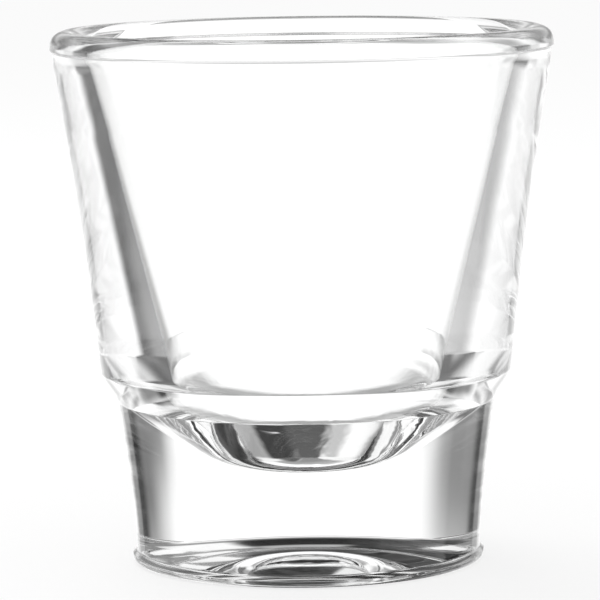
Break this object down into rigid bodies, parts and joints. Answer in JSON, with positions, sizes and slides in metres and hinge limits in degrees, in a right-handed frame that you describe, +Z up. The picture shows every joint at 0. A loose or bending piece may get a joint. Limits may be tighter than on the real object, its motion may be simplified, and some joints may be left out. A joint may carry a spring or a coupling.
{
  "type": "cortado glass",
  "caption": "Small pressed drinking glass: tapered body with a beaded rim, a stepped shoulder, a narrow thick solid base and a rounded bowl inside.",
  "frame": {"origin": "middle of the foot's bearing ring, on the plane that the glass stands on", "axes": "+Z up along the axis of revolution, from the foot to the mouth; X and Y are alike"},
  "size_m": [0.0776, 0.0776, 0.0825],
  "materials": {
    "clear_glass": "clear, smooth and glossy, fire polished, with the faint waviness of pressed glass"
  },
  "bodies": {
    "root": {"glass": "clear_glass"}
  },
  "joints": []
}
